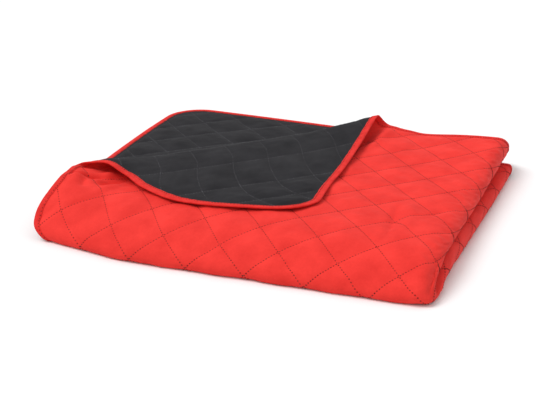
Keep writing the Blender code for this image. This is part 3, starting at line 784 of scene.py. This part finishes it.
binding = {
    "width": 0.0155,
    "wall": 0.0012,
    "step": 0.0058,
    "under": 0.0013,  # how far its inner side is off the cloth's middle
    "rimIn": 0.0016,  # the tape starts to turn round the edge this far in
    "rimOut": 0.0028,  # and goes out by this much
    "puckers": (0.021, 0.0005),  # wavelength along the edge, and height
    "drifts": ((0.173, 2.2, 0.0), (0.067, 1.7, 1.0)),  # their drift: wavelength, radians and start
    "waver": (0.049, 0.0006),  # of the hem's line: wavelength and height
    "offFloor": 0.0002,
}


def bindingTape():
    # The tape's profile, hem to hem round the edge, carried along the rounded rim. Each profile point is a
    # distance in from the edge and a height off the cloth's middle, and both waver a little along the rim.
    rim, inward, length = rimPath(binding["step"])
    low, high = binding["under"], binding["under"] + binding["wall"]
    width, rimIn = binding["width"], binding["rimIn"]
    turn = np.linspace(0, math.pi, 9)[1:-1]
    wrap = np.stack([rimIn - binding["rimOut"] * np.sin(turn), high * np.cos(turn)], axis=1)
    # Half the profile, from the hem's inner edge round its fold and out along the tape
    side = np.array([
        (width, low * 0.8), (width + 0.0004, (low + high) / 2), (width - 0.0002, high * 0.97),
        (width * 0.78, high * 0.90), (width * 0.55, high * 1.10), (width * 0.30, high * 1.05), (rimIn, high),
    ])
    profile = np.concatenate([side, wrap, (side * (1, -1))[::-1]])
    around = 2 * math.pi * length
    drift = sum(turns * np.sin(around / wavelength + start) for wavelength, turns, start in binding["drifts"])
    ripple = binding["puckers"][1] * np.sin(around / binding["puckers"][0] + drift)
    waver = binding["waver"][1] * np.sin(around / binding["waver"][0] + drift)
    inset = profile[None, :, 0] * (1 + (waver / width)[:, None])
    bulge = np.sin(np.clip(profile[None, :, 0] / width, 0, 1) * math.pi) ** 2
    offset = profile[None, :, 1] + np.sign(profile[None, :, 1]) * ripple[:, None] * bulge
    s = rim[:, None, 0] + inward[:, None, 0] * inset
    t = rim[:, None, 1] + inward[:, None, 1] * inset
    points = placeSheet(s, t) + sheetNormals(s, t) * offset[..., None]
    points[..., 2] = np.maximum(points[..., 2], binding["offFloor"])
    across = np.cumsum(np.concatenate([[0], np.linalg.norm(np.diff(profile, axis=0), axis=1)]))
    flat = np.stack(np.broadcast_arrays(length[:, None], across[None]), axis=-1)
    faces = gridFaces(*s.shape, closed=True)[:, ::-1]
    made = makeMesh("binding_tape", points.reshape(-1, 3), faces, tape, flat.reshape(-1, 2))
    print("binding_tape", 2 * len(faces), "triangles")
    return made


tapePiece = bindingTape()

stitching = {
    "pitch": 0.0074,
    "length": 0.0036,
    "radius": 0.00200,  # half its width; the real thread is 0.15 mm, drawn wider and flat so that it shows
    "height": 0.00100,
    "shoulder": 0.6,  # a stitch is full up to this share of its half length
    "lift": 0.0001,  # how far its middle line is off the cloth
    "tangentReach": 0.4,  # share of its length by which the cloth's direction is taken
    "lineReach": 3.2,  # longer than half of any seam, before it is cut at the tape
    "underTape": 0.001,  # how far the seams run in under the tape
    "hemIn": 0.0126,  # the hem's line of stitching, in from the edge
    "hemSunk": 0.95,  # share of the tape's wall that it lies at
    "reverseSize": 0.75,
    "hemSize": 0.8,
    "offFloor": 0.0001,
}


def seamPoints():
    # Every stitch of the quilting: flat place and direction, on lines of both slopes, inside the binding.
    side, slant = quilting["diamond"], 1 / math.sqrt(2)
    reach = int(2 * sheetHalves.sum() / side)
    along = np.arange(-stitching["lineReach"], stitching["lineReach"], stitching["pitch"]) / math.sqrt(2)
    found = []
    for line in range(-reach, reach + 1):
        for slope in (-1, 1):
            s = -firstFold["reach"] + line * side + along
            t = quilting["rowAt"] + slope * along
            inside = edgeDistance(s, t) > quilting["margin"] - stitching["underTape"]
            inside &= np.abs(s - sheetMiddle[0]) < sheetHalves[0]
            inside &= np.abs(t - sheetMiddle[1]) < sheetHalves[1]
            s, t = s[inside], t[inside]
            found.append(np.stack([s, t, np.full_like(s, slant), np.full_like(s, slope * slant)], axis=1))
    return np.concatenate(found)


def hemPoints():
    # Every stitch of the hem: flat place and direction, along the rounded edge and a set distance in.
    rim, inward, _ = rimPath(stitching["pitch"])
    place = rim + inward * stitching["hemIn"]
    return np.concatenate([place, np.stack([-inward[:, 1], inward[:, 0]], axis=1)], axis=1)


def stitches(name, table, side, heights, material, size=1.0):
    # Each stitch is a flattened spindle along its seam: two end points and two rings of three, on the cloth.
    s, t, ds, dt = table.T
    near = stitching["tangentReach"] * stitching["length"]
    tangent = placeSheet(s + ds * near, t + dt * near) - placeSheet(s - ds * near, t - dt * near)
    tangent /= np.linalg.norm(tangent, axis=1, keepdims=True)
    normal = sheetNormals(s, t) * side
    across = np.cross(normal, tangent)
    base = placeSheet(s, t) + normal * (heights + stitching["lift"])[:, None]
    half, radius, rise = (stitching[key] * size for key in ("length", "radius", "height"))
    half = half / 2
    ring = math.pi / 2 + 2 * math.pi / 3 * np.arange(3)
    shape = [(-half, 0.0, 0.0)]
    for shoulder in (-stitching["shoulder"] * half, stitching["shoulder"] * half):
        shape += [(shoulder, radius * math.cos(angle), rise * math.sin(angle)) for angle in ring]
    shape = np.array(shape + [(half, 0.0, 0.0)])
    points = (
        base[:, None]
        + shape[None, :, 0:1] * tangent[:, None]
        + shape[None, :, 1:2] * across[:, None]
        + shape[None, :, 2:3] * normal[:, None]
    )
    points[..., 2] = np.maximum(points[..., 2], stitching["offFloor"])
    one = np.array([
        (0, 2, 1), (0, 3, 2), (0, 1, 3),
        (1, 2, 5), (1, 5, 4), (2, 3, 6), (2, 6, 5), (3, 1, 4), (3, 4, 6),
        (7, 4, 5), (7, 5, 6), (7, 6, 4),
    ])
    faces = (one[None] + 8 * np.arange(len(s))[:, None, None]).reshape(-1, 3)
    made = makeMesh(name, points.reshape(-1, 3), faces, material)
    print(name, len(s), "stitches,", len(faces), "triangles")
    return made


seams = seamPoints()
faceSeamHeights = quilting["halfGap"] + clothHeight(seams[:, 0], seams[:, 1], faceWrinkles)
reverseSeamHeights = quilting["halfGap"] + clothHeight(seams[:, 0], seams[:, 1], reverseWrinkles)
hems = hemPoints()
hemHeights = np.full(len(hems), binding["under"] + binding["wall"] * stitching["hemSunk"])
reverseSize, hemSize = stitching["reverseSize"], stitching["hemSize"]
faceStitches = stitches("face_stitches", seams, 1, faceSeamHeights, redThreadAndPitShade)
reverseStitches = stitches("reverse_stitches", seams, -1, reverseSeamHeights, greyThread, reverseSize)
hemStitches = stitches("hem_stitches_face", hems, 1, hemHeights, redThreadAndPitShade, hemSize)
hemStitchesBack = stitches("hem_stitches_reverse", hems, -1, hemHeights, redThreadAndPitShade, hemSize)

for piece, node, slotName in (
    (faceCloth, "face_panel", "face_panel"),
    (reverseCloth, "reverse_panel", "reverse_panel"),
    (tapePiece, "binding", "binding"),
    (faceStitches, None, "binding"),
    (reverseStitches, None, "reverse_panel"),
    (hemStitches, None, "binding"),
    (hemStitchesBack, None, "binding"),
):
    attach(piece, "root")
    if node:
        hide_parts(node)
print("cloth, binding and stitching ride on the frame")

studio = {
    "azimuth": 22.4,  # of the camera, in degrees round from the front to the right
    "elevation": 23.2,
    "distance": 2.888,
    "lens": 73.3,  # in millimetres, on a sensor of this width
    "sensor": 36.0,
    "target": (-0.192, 0.189, 0.05),  # in the folding's own axes
    "floorColour": "f6f6f6",
    "floorRoughness": 0.9,
    "floorHalf": 24.0,
    "floorBelow": 0.0004,
    "worldColour": "ffffff",
    "worldStrength": 0.42,
    "suns": (
        {"name": "keyPanel", "from": (-0.50, -0.22, 0.84), "strength": 1.70, "softness": 32.0},
        {"name": "topPanel", "from": (0.0, 0.1, 1.0), "strength": 0.95, "softness": 130.0},
    ),
}


def aimedAt(place, target):
    # Rotation that points an object's -Z from place to target.
    direction = np.array(target) - np.array(place)
    flat = math.hypot(direction[0], direction[1])
    return (math.atan2(flat, -direction[2]), 0.0, math.atan2(direction[1], direction[0]) - math.pi / 2)


def makeStudio():
    # A camera on a ray from its target at the two angles, soft suns, an even white world and a pale floor.
    scene = bpy.context.scene
    target = np.array(studio["target"]) + sheetCut["toFrame"]
    azimuth, elevation = math.radians(studio["azimuth"]), math.radians(studio["elevation"])
    back = np.array([
        math.sin(azimuth) * math.cos(elevation), -math.cos(azimuth) * math.cos(elevation), math.sin(elevation)
    ])
    camera = bpy.data.objects.new("camera", bpy.data.cameras.new("camera"))
    scene.collection.objects.link(camera)
    camera.data.lens = studio["lens"]
    camera.data.sensor_width = studio["sensor"]
    camera.location = target + studio["distance"] * back
    camera.rotation_euler = aimedAt(camera.location, target)
    scene.camera = camera
    for sun in studio["suns"]:
        light = bpy.data.lights.new(sun["name"], "SUN")
        light.energy, light.angle = sun["strength"], math.radians(sun["softness"])
        lamp = bpy.data.objects.new(sun["name"], light)
        scene.collection.objects.link(lamp)
        lamp.rotation_euler = aimedAt(sun["from"], (0, 0, 0))
    world = bpy.data.worlds.new("studio")
    scene.world = world
    world.use_nodes = True
    background = world.node_tree.nodes["Background"]
    background.inputs["Color"].default_value = linearColour(studio["worldColour"])
    background.inputs["Strength"].default_value = studio["worldStrength"]
    scene.view_settings.view_transform = "Standard"
    floorPoints = studio["floorHalf"] * np.array([(-1, -1, 0), (1, -1, 0), (1, 1, 0), (-1, 1, 0)])
    paper = bpy.data.materials.new("studioPaper")
    paper.use_nodes = True
    shader = paper.node_tree.nodes["Principled BSDF"]
    shader.inputs["Base Color"].default_value = linearColour(studio["floorColour"])
    shader.inputs["Roughness"].default_value = studio["floorRoughness"]
    floor = makeMesh("studio_floor", floorPoints, np.array([(0, 1, 2, 3)]), paper, smooth=False)
    floor.location.z = -studio["floorBelow"]
    print("camera, lights and floor set")


makeStudio()
